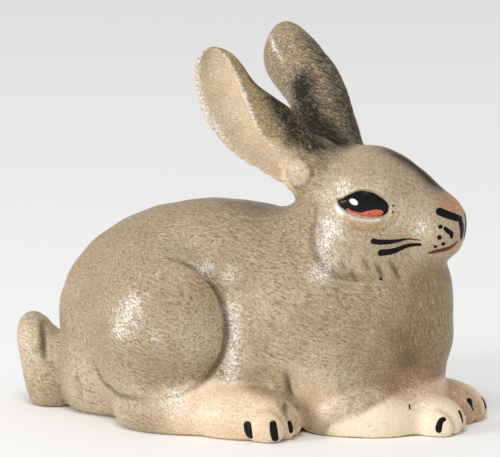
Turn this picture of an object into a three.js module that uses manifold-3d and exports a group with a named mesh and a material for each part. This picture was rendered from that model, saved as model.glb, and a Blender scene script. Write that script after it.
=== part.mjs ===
// A moulded and painted rabbit figurine, crouching, in millimetres.
// +X is where it looks, +Y its left, +Z up; the origin is on the table, under the middle of the figurine.
//
// The body is one smooth clay form, built up from named lumps that blend into each other. Each named part
// is moulded as a ball whose points are pushed out along rays until they meet the clay. Thin cuts part the
// pieces: the head, neck and thighs along outlines seen from the side, the rest along their own forms.
import * as THREE from 'three';
import { mergeVertices } from 'three/addons/utils/BufferGeometryUtils.js';
import Module from 'manifold-3d';

const wasm = await Module();
wasm.setup();

// ---- Driving sizes ----
const CUT = 0.3;            // width of the thin cuts between named parts
const BACK = 42.3;          // top of the back above the table
const RUMP_END = -39.8;     // rear of the body, without the tail
const TAIL_END = -49.6;     // rear of the tail
const TAIL_TOP = 17.6;
const CHEST_END = 39.4;     // front of the chest
const NOSE_TIP = 43.5;      // front of the nose
const HEAD_TOP = 53.4;      // top of the skull, between the ears
const CHIN = 32.2;          // underside of the chin
const HAUNCH_R = 14.8;      // radius of the rounded thigh, seen from the side
const HAUNCH_X = -11.4;     // middle of the thigh
const HAUNCH_Z = 20.4;
const HIND_TOE = 16.4;      // front of the hind toes
const HIND_Y = 18.2;        // how far each hind foot stands from the centre plane
const FORE_TOE = 45;        // front of the fore toes
const FORE_Y = 5.8;         // how far each forepaw stands from the centre plane

// ---- Clay: ellipsoid lumps and their blends ----
const v3 = (x, y, z) => new THREE.Vector3(x, y, z);

// A lump is an ellipsoid: its centre, its half sizes, and how it is turned, in degrees about X, Y and Z.
function lump(centre, size, turn = [0, 0, 0]) {
  const [a, b, c] = turn.map(THREE.MathUtils.degToRad);
  const back = new THREE.Quaternion().setFromEuler(new THREE.Euler(a, b, c)).invert();
  return { centre: v3(...centre), size: v3(...size), back };
}

// Roughly how far a point is outside a lump, in millimetres, and negative inside it.
function outside(point, { centre, size, back }) {
  const local = point.clone().sub(centre).applyQuaternion(back).divide(size);
  const scaled = local.length();
  const slope = local.divide(size).length();
  return slope < 1e-9 ? -size.x : (scaled * (scaled - 1)) / slope;
}

// The smaller of two distances, with the crease between them filled over a width of soft millimetres.
function blend(a, b, soft) {
  const share = Math.max(soft - Math.abs(a - b), 0) / soft;
  return Math.min(a, b) - (share * share * soft) / 4;
}

function blended(point, lumps, soft) {
  return lumps.map((one) => outside(point, one)).reduce((a, b) => blend(a, b, soft));
}

// Lumps on the centre plane, and lumps of the left side, which the right side mirrors.
const TORSO = [
  lump([RUMP_END + 34, 0, BACK - 24.2], [34, 18, 23.8]),
  lump([13, 0, 18], [21, 16, 20]),
  lump([CHEST_END - 17, 0, 17.5], [17, 14.5, 19]),
];
const UNDERSIDE = [
  lump([-26, 0, 6.5], [14.6, 12, 11]),
  lump([-8, 9, 5], [17, 13, 9]),
  lump([15, 0, 5], [24, 12, 9]),
];
const BREAST = lump([CHEST_END - 11, 0, 20.5], [11, 12, 13]);
const SHOULDER = lump([17, 7, 19], [14, 11, 15]);
const NECK = lump([16, 0, 33], [12.5, 10, 10]);
const THROAT = lump([28, 0, 27.9], [11.8, 11, 7.6]);
const SKULL = [
  lump([24, 0, HEAD_TOP - 11.8], [12.8, 10.6, 11.8]),
  lump([32.8, 0, 41], [8.8, 7.4, 7], [0, 32, 0]),
  lump([NOSE_TIP - 4.8, 0, 39.4], [4.8, 4.6, 4.8]),
  lump([37.2, 0, CHIN + 3.6], [4.8, 4.2, 3.6]),
];
const CHEEK = lump([23.5, 5, 37.4], [9.6, 7, 8.2]);
const LIP = lump([NOSE_TIP - 5.8, 2.4, 37.4], [4.2, 3.4, 3.2]);
const BROW = lump([27.4, 6.7, 46.9], [6.2, 3, 2.3], [0, 10, 0]);
const EAR_ROOT = lump([15.2, 3.6, 48.8], [6, 5.4, 7.6], [0, -34, 0]);
const HAUNCH = lump([HAUNCH_X, 11, HAUNCH_Z], [HAUNCH_R, 13.6, HAUNCH_R]);
const HEEL = lump([-8, HIND_Y - 2.4, 3], [13, 6.4, 5.4]);
const HIND_FOOT = lump([HIND_TOE - 11.4, HIND_Y, 3.6], [10.6, 6.4, 6]);
const FOREARM = [
  lump([24.8, FORE_Y + 4.8, 3.4], [11.4, 5.6, 7.4]),
  lump([FORE_TOE - 9, FORE_Y, 2.6], [8.8, 5, 5.2]),
];
const TAIL = [
  lump([RUMP_END - 2, 0, 5], [6, 6, 8.4]),
  lump([TAIL_END + 4.9, 0, TAIL_TOP - 6.8], [4.2, 5, 7.4], [0, -20, 0]),
];

// Four toes side by side, the middle two foremost.
function toes(front, middle, pitch, setBack, size, height) {
  const at = (k) => [front - size[0] - setBack * k * k, middle - pitch * k, height];
  return [-1.5, -0.5, 0.5, 1.5].map((k) => lump(at(k), size));
}
const HIND_TOES = toes(HIND_TOE, HIND_Y + 0.2, 3.1, 0.5, [4, 1.9, 3.4], 2.6);
const FORE_TOES = toes(FORE_TOE, FORE_Y, 2.5, 0.4, [3.6, 1.7, 3.1], 1.8);

const sideways = (p) => v3(p.x, Math.abs(p.y), p.z);

// The thigh shows a crisp edge in front and melts into the rump behind.
function haunchBlend(x) {
  return THREE.MathUtils.mapLinear(THREE.MathUtils.clamp(x, -20, -6), -20, -6, 7, 0.8);
}

function trunkClay(point) {
  const p = sideways(point);
  let body = blend(blended(p, TORSO, 5), outside(p, SHOULDER), 5);
  body = blend(body, blended(p, [BREAST, THROAT], 4), 4);
  body = blend(body, blend(blended(p, UNDERSIDE, 4), outside(p, HEEL), 5), 4);
  body = blend(body, outside(p, NECK), 3);
  return blend(body, outside(p, HAUNCH), haunchBlend(p.x));
}

function headClay(point) {
  const p = sideways(point);
  let body = blend(blended(p, SKULL, 4), outside(p, CHEEK), 3);
  body = blend(body, outside(p, LIP), 1.6);
  body = blend(body, outside(p, BROW), 3);
  return blend(body, outside(p, EAR_ROOT), 3);
}

const bodyClay = (point) => blend(trunkClay(point), headClay(point), 3.5);
const tailClay = (point) => blended(sideways(point), TAIL, 3);
const footClay = (p) => blend(outside(p, HIND_FOOT), blended(p, HIND_TOES, 0.3), 0.8);
const armClay = (p) => blend(blended(p, FOREARM, 3), blended(p, FORE_TOES, 0.3), 0.8);

// ---- Moulding: a ball's points are pushed out to the clay ----
const FAR = 70;             // past the figurine, whichever way
const MARCH = 0.6;          // step along a ray before the surface is bracketed
const HALVINGS = 14;

// How far along a ray from inside the clay its surface is, and at most reach.
function surfaceAlong(form, start, direction, reach) {
  const at = (t) => form(start.clone().addScaledVector(direction, t));
  let near = 0;
  let far = MARCH;
  while (far < reach && at(far) < 0) {
    near = far;
    far += MARCH;
  }
  if (far >= reach) return reach;
  for (let i = 0; i < HALVINGS; i++) {
    const middle = (near + far) / 2;
    if (at(middle) < 0) near = middle;
    else far = middle;
  }
  return near;
}

// A closed body: rays leave a straight spine from one end to the other, as from a ball drawn out along it.
// Its whole surface is set out by grow, for the hole that leaves a thin cut round it.
function mould({ form, from, to = from, detail, reach = FAR }, grow = 0) {
  const a = v3(...from);
  const b = v3(...to);
  const middle = a.clone().add(b).multiplyScalar(0.5);
  const half = b.clone().sub(a).multiplyScalar(0.5);
  const axis = half.clone().normalize();
  const ball = new THREE.IcosahedronGeometry(1, detail);
  const places = ball.getAttribute('position');
  const grown = (point) => form(point) - grow;
  for (let i = 0; i < places.count; i++) {
    const ray = v3(0, 0, 0).fromBufferAttribute(places, i).normalize();
    const start = middle.clone().addScaledVector(half, ray.dot(axis));
    const end = start.clone().addScaledVector(ray, surfaceAlong(grown, start, ray, reach));
    places.setXYZ(i, end.x, end.y, end.z);
  }
  return solidOf(ball);
}

function solidOf(geometry) {
  for (const name of ['normal', 'uv']) geometry.deleteAttribute(name);
  const merged = mergeVertices(geometry, 1e-4);
  return new wasm.Manifold(
    new wasm.Mesh({
      numProp: 3,
      vertProperties: merged.getAttribute('position').array,
      triVerts: new Uint32Array(merged.index.array),
    }),
  );
}

// ---- Ears: leaves with a hollow outer face, and a front edge rolled back from a ridge ----
const EAR_HOLLOW = 1.8;     // depth of the hollow
const EAR_THICK = 4;        // from the rims' plane to the smooth back of the leaf
const EAR_ROLL = 3.4;       // how far the front edge is rolled back, at the root
const EAR_RIDGE = [0.05, 0.78];           // the ridge at root and tip, between the edges at -1 and 1
const EAR_FACES = [0.05, -0.98, -0.1];    // the way the hollow looks, on the right side
const EAR_AROUND = 16;
const EAR_ALONG = 16;

// How wide the ear is along its length, from the root at 0 to the tip at 1, as a share of its full width.
function earShare(t, { fullest, waist, blunt }) {
  const root = THREE.MathUtils.smoothstep(t, -0.16, fullest);
  const tip = Math.sqrt(Math.max(0, 1 - Math.max(0, (t - fullest) / (1 - fullest)) ** blunt));
  return (waist + (1 - waist) * root) * tip * Math.sqrt(Math.min(1, t / 0.08));
}

// How much one edge of the leaf curves in: by a share of the half width, at a place, over a stretch.
const pinch = (t, [by, at, over]) => by * Math.exp(-(((t - at) / over) ** 2));

// Height of the outer face, across the leaf: hollow behind the ridge and falling away in front of it.
function earFace(side, roll, ridge) {
  if (side > ridge) return -roll * ((side - ridge) / (1 - ridge)) ** 1.6;
  const middle = (ridge - 1) / 2;
  return -EAR_HOLLOW * (1 - ((side - middle) / (ridge - middle)) ** 2);
}

function ear({ root, bend, tip, width, taper }) {
  const line = new THREE.QuadraticBezierCurve3(v3(...root), v3(...bend), v3(...tip));
  const leaf = new THREE.SphereGeometry(1, EAR_AROUND, EAR_ALONG);
  const places = leaf.getAttribute('position');
  for (let i = 0; i < places.count; i++) {
    const on = v3(0, 0, 0).fromBufferAttribute(places, i);
    const t = THREE.MathUtils.clamp((1 + on.y) / 2, 0, 1);
    const around = Math.atan2(on.z, on.x);
    const along = line.getTangentAt(t);
    const out = v3(...EAR_FACES).normalize();
    out.addScaledVector(along, -out.dot(along)).normalize();
    const across = along.clone().cross(out);
    const share = earShare(t, taper);
    const side = Math.cos(around);
    const reach = (width / 2) * share * side * (1 - pinch(t, side > 0 ? taper.front : taper.rear));
    const ridge = THREE.MathUtils.lerp(...EAR_RIDGE, THREE.MathUtils.smoothstep(t, 0.36, 0.8));
    const roll = EAR_ROLL * (1 - 0.6 * t);
    const back = (-roll * (side + 1)) / 2 - EAR_THICK * Math.abs(Math.sin(around));
    const height = Math.sin(around) > 1e-6 ? earFace(side, roll, ridge) : back;
    const end = line.getPointAt(t).addScaledVector(across, reach);
    end.addScaledVector(out, share * height);
    places.setXYZ(i, end.x, end.y, end.z);
  }
  return solidOf(leaf);
}

// Both ears are given as on the right side; the left one is mirrored. A taper says where along the ear it is
// fullest, what share of that width its waist has, how blunt its tip is, and how its two edges curve in.
const EARS = {
  right: {
    root: [18.5, -5.5, 47.2],
    bend: [1.2, -12, 57],
    tip: [-0.2, -17, 74.2],
    width: 14.3,
    taper: { fullest: 0.47, waist: 0.36, blunt: 2.1, front: [0.26, 0.7, 0.19], rear: [0.12, 0.34, 0.14] },
  },
  left: {
    root: [19.5, -5, 48],
    bend: [8.3, -11, 62],
    tip: [-0.2, -17, 73.1],
    width: 16.2,
    taper: { fullest: 0.45, waist: 0.48, blunt: 2.4, front: [0.1, 0.8, 0.2], rear: [0.38, 0.53, 0.23] },
  },
};

// ---- Eyes: lenses let into the sides of the head ----
const EYE_X = 27.3;
const EYE_Z = 43.6;
const EYE_HALF = [4.8, 2, 2.7];
const EYE_SUNK = 0.9;       // how far the middle of the lens is behind the head's surface

// The left eye, with its whole surface set out by grow.
function eyeLens(grow) {
  const across = v3(0, 1, 0);
  const side = (x, z) => surfaceAlong(headClay, v3(x, 0, z), across, FAR);
  const slopeX = side(EYE_X - 0.5, EYE_Z) - side(EYE_X + 0.5, EYE_Z);
  const slopeZ = side(EYE_X, EYE_Z - 0.5) - side(EYE_X, EYE_Z + 0.5);
  const facing = v3(slopeX, 1, slopeZ).normalize();
  const centre = v3(EYE_X, side(EYE_X, EYE_Z), EYE_Z).addScaledVector(facing, -EYE_SUNK);
  const lens = new THREE.SphereGeometry(1, 14, 8).rotateX(Math.PI / 2);
  lens.scale(...EYE_HALF.map((half) => half + grow));
  lens.applyQuaternion(new THREE.Quaternion().setFromUnitVectors(across, facing));
  return solidOf(lens.translate(...centre));
}

// ---- Cutters: outlines seen from the side, drawn out along Y; grow sets their whole surface out ----
// A closed body with this outline in X and Z, from low to high in Y.
function slab(outline, low, high, curveSegments = 18) {
  const options = { depth: high - low, bevelEnabled: false, curveSegments };
  const drawn = new THREE.ExtrudeGeometry(outline, options);
  return solidOf(drawn.rotateX(Math.PI / 2).translate(0, high, 0));
}

const polygon = (...corners) => new THREE.Shape(corners.map(([x, z]) => new THREE.Vector2(x, z)));

function oval(x, z, halfX, halfZ) {
  const outline = new THREE.Shape();
  outline.absellipse(x, z, halfX, halfZ, 0, 2 * Math.PI);
  return outline;
}

// The jaw line is an arc of an oval, from the nape round below the cheek to the throat.
const JAW_X = 29;
const JAW_Z = 43;
const JAW_HALF = [17.5, 13.7];
const NECK_LONG = 5;
function headCutter(grow) {
  const outline = new THREE.Shape();
  outline.moveTo(-FAR, FAR);
  outline.lineTo(JAW_X - JAW_HALF[0] - grow, JAW_Z);
  outline.absellipse(JAW_X, JAW_Z, JAW_HALF[0] + grow, JAW_HALF[1] + grow, Math.PI, 1.72 * Math.PI);
  outline.lineTo(FAR, 22 - grow);
  outline.lineTo(FAR, FAR);
  return slab(outline, -FAR, FAR);
}

function neckCutter(grow) {
  const [halfX, halfZ] = JAW_HALF.map((half) => half + NECK_LONG + grow);
  return slab(oval(JAW_X, JAW_Z, halfX, halfZ), -FAR, FAR);
}

const HAUNCH_INNER = 7;     // how far from the centre plane the thigh reaches in
function haunchCutter(grow) {
  const r = HAUNCH_R + 0.8 + grow;
  return slab(oval(HAUNCH_X, HAUNCH_Z, r, r), HAUNCH_INNER - grow, FAR, 16);
}

const mirrored = (solid) => solid.mirror([0, 1, 0]);
const without = (solid, ...cutters) => cutters.reduce((left, cutter) => left.subtract(cutter), solid);
const underTable = slab(polygon([-FAR, -FAR], [FAR, -FAR], [FAR, 0], [-FAR, 0]), -FAR, FAR);

// ---- The named parts ----
const FUR = { color: 0xa39683, roughness: 0.35 };
const CREAM = { color: 0xe2c9a4, roughness: 0.35 };
const BLACK = { color: 0x17130f, roughness: 0.2 };

const part = new THREE.Group();
function addMesh(name, solid, paint) {
  const { vertProperties, triVerts } = solid.getMesh();
  const geometry = new THREE.BufferGeometry()
    .setAttribute('position', new THREE.BufferAttribute(vertProperties, 3))
    .setIndex(new THREE.BufferAttribute(triVerts, 1));
  const mesh = new THREE.Mesh(geometry, new THREE.MeshStandardMaterial(paint));
  mesh.name = name;
  part.add(mesh);
}

// A part of the left side and its mirror image on the right.
function addPair(name, left, paint) {
  addMesh(`${name}_left`, left, paint);
  addMesh(`${name}_right`, mirrored(left), paint);
}

const HEAD = { form: bodyClay, from: [23, 0, 43], to: [32, 0, 41.5], detail: 7, reach: 30 };
const NECK_RING = { form: bodyClay, from: [18, 0, 34], to: [27, 0, 28], detail: 4, reach: 26 };
const TRUNK = { form: trunkClay, from: [-10, 0, 20], to: [18, 0, 18], detail: 7 };
const THIGH = { form: trunkClay, from: [HAUNCH_X, 13.5, HAUNCH_Z], detail: 5, reach: 22 };
const FOOT = { form: footClay, from: [-1, HIND_Y, 3.5], to: [9, HIND_Y, 3.5], detail: 4 };
const ARM = { form: armClay, from: [20, FORE_Y + 4, 4], to: [39, FORE_Y, 3], detail: 4 };
const BOBTAIL = { form: tailClay, from: [RUMP_END - 2, 0, 4], to: [TAIL_END + 4.4, 0, 11], detail: 3 };
const WRIST_X = 30;

const eyeSocket = eyeLens(CUT);
const head = mould(HEAD).intersect(headCutter(0));
addMesh('head', without(head, eyeSocket, mirrored(eyeSocket)), FUR);

const neck = mould(NECK_RING).intersect(neckCutter(0));
addMesh('neck', neck.subtract(headCutter(CUT)), FUR);

const footHole = mould(FOOT, CUT);
const limbHoles = [haunchCutter(CUT), footHole, mould(ARM, CUT)];
const bodyHoles = [underTable, headCutter(CUT), neckCutter(CUT), mould(BOBTAIL, CUT)];
addMesh('trunk', without(mould(TRUNK), ...bodyHoles, ...limbHoles, ...limbHoles.map(mirrored)), FUR);
addMesh('tail', mould(BOBTAIL).subtract(underTable), FUR);

addPair('haunch', without(mould(THIGH).intersect(haunchCutter(0)), footHole, underTable), FUR);
addPair('hind_foot', mould(FOOT).subtract(underTable), CREAM);

const arm = without(mould(ARM), footHole, underTable);
addPair('foreleg', arm.trimByPlane([-1, 0, 0], -WRIST_X), FUR);
addPair('forepaw', arm.trimByPlane([1, 0, 0], WRIST_X + CUT), CREAM);

addPair('eye', eyeLens(0), BLACK);

const headHole = mould(HEAD, CUT);
addMesh('ear_right', ear(EARS.right).subtract(headHole), CREAM);
addMesh('ear_left', mirrored(ear(EARS.left)).subtract(headHole), CREAM);

// The origin is under the middle of the whole figurine.
const centre = new THREE.Box3().setFromObject(part).getCenter(v3(0, 0, 0));
for (const mesh of part.children) mesh.geometry.translate(-centre.x, -centre.y, 0);
export default part;
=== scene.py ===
# A moulded rabbit figurine, painted by hand and varnished, lying crouched with its ears up.
# One skin stands for all the flesh. The eyes and the brush strokes are pieces of their own.
# Shapes are worked in millimetres and written in metres: +X is where it looks, +Y its left, +Z up.
import math

import bpy
import numpy as np
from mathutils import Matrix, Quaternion, Vector
from mathutils.bvhtree import BVHTree
from mathutils.kdtree import KDTree


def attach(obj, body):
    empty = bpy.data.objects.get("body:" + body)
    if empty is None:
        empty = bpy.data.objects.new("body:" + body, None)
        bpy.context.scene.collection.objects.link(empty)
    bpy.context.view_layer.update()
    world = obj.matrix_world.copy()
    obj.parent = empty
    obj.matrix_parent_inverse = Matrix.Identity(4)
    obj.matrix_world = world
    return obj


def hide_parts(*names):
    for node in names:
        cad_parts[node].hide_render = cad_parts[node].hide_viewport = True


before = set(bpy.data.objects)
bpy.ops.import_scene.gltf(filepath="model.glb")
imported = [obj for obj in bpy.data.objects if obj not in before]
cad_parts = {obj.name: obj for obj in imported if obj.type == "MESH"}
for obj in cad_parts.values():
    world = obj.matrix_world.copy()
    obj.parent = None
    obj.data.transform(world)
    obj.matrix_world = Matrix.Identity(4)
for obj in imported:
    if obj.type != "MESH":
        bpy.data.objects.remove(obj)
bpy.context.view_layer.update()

MM = 0.001
WELD = 1e-6                 # vertices closer than this are made one, in metres
FLESH = [
    "head", "neck", "trunk", "tail", "haunch_left", "haunch_right", "hind_foot_left", "hind_foot_right",
    "foreleg_left", "foreleg_right", "forepaw_left", "forepaw_right", "ear_left", "ear_right",
]


# ---- Handling pieces ----
def alone(piece):
    """Selects one piece and nothing else, and makes it active."""
    bpy.ops.object.select_all(action="DESELECT")
    piece.select_set(True)
    bpy.context.view_layer.objects.active = piece


def modify(piece, kind, **settings):
    alone(piece)
    modifier = piece.modifiers.new(kind.title(), kind)
    for name, value in settings.items():
        setattr(modifier, name, value)
    bpy.ops.object.modifier_apply(modifier=modifier.name)


def places(piece):
    """The vertices' places, in millimetres."""
    found = np.empty(len(piece.data.vertices) * 3, np.float32)
    piece.data.vertices.foreach_get("co", found)
    return found.reshape(-1, 3).astype(float) / MM


def put(piece, found):
    piece.data.vertices.foreach_set("co", (found * MM).astype(np.float32).ravel())
    piece.data.update()


def normals(piece):
    found = np.empty(len(piece.data.vertices) * 3, np.float32)
    piece.data.vertex_normals.foreach_get("vector", found)
    return found.reshape(-1, 3).astype(float)


def edit(piece, *steps):
    """Runs edit-mode operators on the whole of a piece."""
    alone(piece)
    bpy.ops.object.mode_set(mode="EDIT")
    bpy.ops.mesh.select_all(action="SELECT")
    for operator, settings in steps:
        operator(**settings)
    bpy.ops.object.mode_set(mode="OBJECT")


def weld(piece):
    """Joins the vertices that lie together and turns every face outwards."""
    edit(piece, (bpy.ops.mesh.remove_doubles, dict(threshold=WELD)),
         (bpy.ops.mesh.normals_make_consistent, dict(inside=False)))


def join(pieces, name):
    """Makes several pieces one, under a new name."""
    alone(pieces[0])
    for piece in pieces[1:]:
        piece.select_set(True)
    bpy.ops.object.join()
    pieces[0].name = name
    pieces[0].data.name = name
    return pieces[0]


def split_faces(piece, chosen):
    """Halves the chosen faces' edges, for finer modelling."""
    mesh = piece.data
    alone(piece)
    bpy.context.tool_settings.mesh_select_mode = (False, False, True)
    for items in (mesh.vertices, mesh.edges):
        items.foreach_set("select", np.zeros(len(items), bool))
    mesh.polygons.foreach_set("select", chosen)
    bpy.ops.object.mode_set(mode="EDIT")
    bpy.ops.mesh.subdivide(number_cuts=1)
    bpy.ops.object.mode_set(mode="OBJECT")


EVEN_SWELL = 0.12           # thin edges are swelled by this before they are evened out, to keep their size


def even_out(piece, weights, rounds):
    """Smooths a piece where its weights are."""
    part = piece.vertex_groups.new(name="evened")
    for i in np.nonzero(weights > 0.01)[0]:
        part.add([int(i)], float(weights[i]), "REPLACE")
    modify(piece, "DISPLACE", strength=EVEN_SWELL * MM, mid_level=0.0, direction="NORMAL",
           vertex_group="evened")
    modify(piece, "SMOOTH", factor=0.5, iterations=rounds, vertex_group="evened")
    piece.vertex_groups.remove(piece.vertex_groups["evened"])


def middles(piece):
    found = np.empty(len(piece.data.polygons) * 3, np.float32)
    piece.data.polygons.foreach_get("center", found)
    return found.reshape(-1, 3).astype(float) / MM


def smoothstep(x, low, high):
    t = np.clip((x - low) / (high - low), 0, 1)
    return t * t * (3 - 2 * t)


def bell(x, middle, width, power=2):
    """1 at the middle and falling off on both sides; a power of 4 gives it a flatter top."""
    return np.exp(-(((x - middle) / width) ** power))


# ---- The clay: the solids' own lumps and blends, which the skin is settled on ----
AHEAD = 2.248               # from the lumps' own origin to the figurine's
BACK = 42.3
RUMP_END = -39.8
TAIL_END = -49.6
TAIL_TOP = 17.6
CHEST_END = 39.4
NOSE_TIP = 43.5
HEAD_TOP = 53.4
CHIN = 32.2
HAUNCH_R = 14.8
HAUNCH_X = -11.4
HAUNCH_Z = 20.4
HIND_TOE = 16.4
HIND_Y = 18.2
FORE_TOE = 45
FORE_Y = 5.8


def lump(centre, size, turn=0):
    """An ellipsoid: its centre, its half sizes, and its turn about Y in degrees."""
    return np.array(centre, float), np.array(size, float), math.radians(turn)


def outside(p, one):
    centre, size, turn = one
    d = p - centre
    c, s = math.cos(turn), math.sin(turn)
    local = np.stack([d[:, 0] * c - d[:, 2] * s, d[:, 1], d[:, 0] * s + d[:, 2] * c], 1) / size
    scaled = np.sqrt((local**2).sum(1))
    slope = np.sqrt(((local / size) ** 2).sum(1))
    return scaled * (scaled - 1) / np.maximum(slope, 1e-9)


def blend(a, b, soft):
    share = np.maximum(soft - np.abs(a - b), 0) / soft
    return np.minimum(a, b) - share * share * soft / 4


def blended(p, lumps, soft):
    found = outside(p, lumps[0])
    for one in lumps[1:]:
        found = blend(found, outside(p, one), soft)
    return found


TORSO = [
    lump([RUMP_END + 34, 0, BACK - 24.2], [34, 18, 23.8]),
    lump([13, 0, 18], [21, 16, 20]),
    lump([CHEST_END - 17, 0, 17.5], [17, 14.5, 19]),
]
UNDERSIDE = [
    lump([-26, 0, 6.5], [14.6, 12, 11]),
    lump([-8, 9, 5], [17, 13, 9]),
    lump([15, 0, 5], [24, 12, 9]),
]
BREAST = lump([CHEST_END - 11, 0, 20.5], [11, 12, 13])
SHOULDER = lump([17, 7, 19], [14, 11, 15])
NECK = lump([16, 0, 33], [12.5, 10, 10])
THROAT = lump([28, 0, 27.9], [11.8, 11, 7.6])
SKULL = [
    lump([24, 0, HEAD_TOP - 11.8], [12.8, 10.6, 11.8]),
    lump([32.8, 0, 41], [8.8, 7.4, 7], 32),
    lump([NOSE_TIP - 4.8, 0, 39.4], [4.8, 4.6, 4.8]),
    lump([37.2, 0, CHIN + 3.6], [4.8, 4.2, 3.6]),
]
CHEEK = lump([23.5, 5, 37.4], [9.6, 7, 8.2])
LIP = lump([NOSE_TIP - 5.8, 2.4, 37.4], [4.2, 3.4, 3.2])
BROW = lump([27.4, 6.7, 46.9], [6.2, 3, 2.3], 10)
EAR_ROOT = lump([15.2, 3.6, 48.8], [6, 5.4, 7.6], -34)
HAUNCH = lump([HAUNCH_X, 11, HAUNCH_Z], [HAUNCH_R, 13.6, HAUNCH_R])
HEEL = lump([-8, HIND_Y - 2.4, 3], [13, 6.4, 5.4])
HIND_FOOT = lump([HIND_TOE - 11.4, HIND_Y, 3.6], [10.6, 6.4, 6])
FOREARM = [
    lump([24.8, FORE_Y + 4.8, 3.4], [11.4, 5.6, 7.4]),
    lump([FORE_TOE - 9, FORE_Y, 2.6], [8.8, 5, 5.2]),
]
TAIL = [
    lump([RUMP_END - 2, 0, 5], [6, 6, 8.4]),
    lump([TAIL_END + 4.9, 0, TAIL_TOP - 6.8], [4.2, 5, 7.4], -20),
]


def toes(front, middle, pitch, set_back, size, height):
    """Four toes side by side, the middle two foremost."""
    return [
        lump([front - size[0] - set_back * k * k, middle - pitch * k, height], size)
        for k in (-1.5, -0.5, 0.5, 1.5)
    ]


HIND_TOES = toes(HIND_TOE, HIND_Y + 0.2, 3.1, 0.5, [4, 1.9, 3.4], 2.6)
FORE_TOES = toes(FORE_TOE, FORE_Y, 2.5, 0.4, [3.6, 1.7, 3.1], 1.8)


def clay(p):
    """How far points are outside the body, without its ears; negative inside."""
    q = np.stack([p[:, 0] - AHEAD, np.abs(p[:, 1]), p[:, 2]], 1)
    trunk = blend(blended(q, TORSO, 5), outside(q, SHOULDER), 5)
    trunk = blend(trunk, blended(q, [BREAST, THROAT], 4), 4)
    trunk = blend(trunk, blend(blended(q, UNDERSIDE, 4), outside(q, HEEL), 5), 4)
    trunk = blend(trunk, outside(q, NECK), 3)
    thigh_soft = np.interp(q[:, 0], [-20, -6], [7, 0.8])
    trunk = blend(trunk, outside(q, HAUNCH), thigh_soft)
    head = blend(blended(q, SKULL, 4), outside(q, CHEEK), 3)
    head = blend(head, outside(q, LIP), 1.6)
    head = blend(head, outside(q, BROW), 3)
    head = blend(head, outside(q, EAR_ROOT), 3)
    body = blend(trunk, head, 3.5)
    body = blend(body, blended(q, TAIL, 3), 0.5)
    foot = blend(outside(q, HIND_FOOT), blended(q, HIND_TOES, 0.3), 0.8)
    arm = blend(blended(q, FOREARM, 3), blended(q, FORE_TOES, 0.3), 0.8)
    body = blend(blend(body, foot, 1), arm, 1)
    return -blend(-body, p[:, 2], 0.7)


# ---- The ears ----
EAR_HOLLOW = 1.8
EAR_THICK = 4
EAR_ROLL = 3.4
EAR_RIDGE = (0.05, 0.78)    # the ridge at the root and at the tip, between the edges at -1 and 1
EAR_RIM = 0.7               # how far the rounded rims stand out of their own plane
EAR_FACES = np.array(Vector((0.05, -0.98, -0.1)).normalized())
EARS = {
    "ear_right": dict(root=(18.5, -5.5, 47.2), bend=(1.2, -12, 57), tip=(-0.2, -17, 74.2), width=14.3,
                      fullest=0.47, waist=0.36, blunt=2.1, front=(0.26, 0.7, 0.19), rear=(0.12, 0.34, 0.14)),
    "ear_left": dict(root=(19.5, -5, 48), bend=(8.3, -11, 62), tip=(-0.2, -17, 73.1), width=16.2,
                     fullest=0.45, waist=0.48, blunt=2.4, front=(0.1, 0.8, 0.2), rear=(0.38, 0.53, 0.23)),
}


ear_marks = []              # for each ear: places on it, and how far each is along it, across it and outwards


def along_curve(root, bend, tip, t):
    """Places and directions at shares t of a curve's length, from the root to the tip."""
    a, b, c = (np.array(x, float) for x in (root, bend, tip))
    u = np.linspace(0, 1, 400)[:, None]
    line = (1 - u) ** 2 * a + 2 * u * (1 - u) * b + u * u * c
    run = np.concatenate([[0], np.cumsum(np.linalg.norm(np.diff(line, axis=0), axis=1))])
    at = np.interp(t * run[-1], run, u[:, 0])[:, None]
    place = (1 - at) ** 2 * a + 2 * at * (1 - at) * b + at * at * c
    way = 2 * (1 - at) * (b - a) + 2 * at * (c - b)
    return place, way / np.linalg.norm(way, axis=1)[:, None]


def pinch(t, by, at, over):
    """How much an edge curves in: by a share of the half width, at a place along it, over a stretch."""
    return by * bell(t, at, over)


def ridge_at(t):
    return EAR_RIDGE[0] + (EAR_RIDGE[1] - EAR_RIDGE[0]) * smoothstep(t, 0.36, 0.8)


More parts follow.
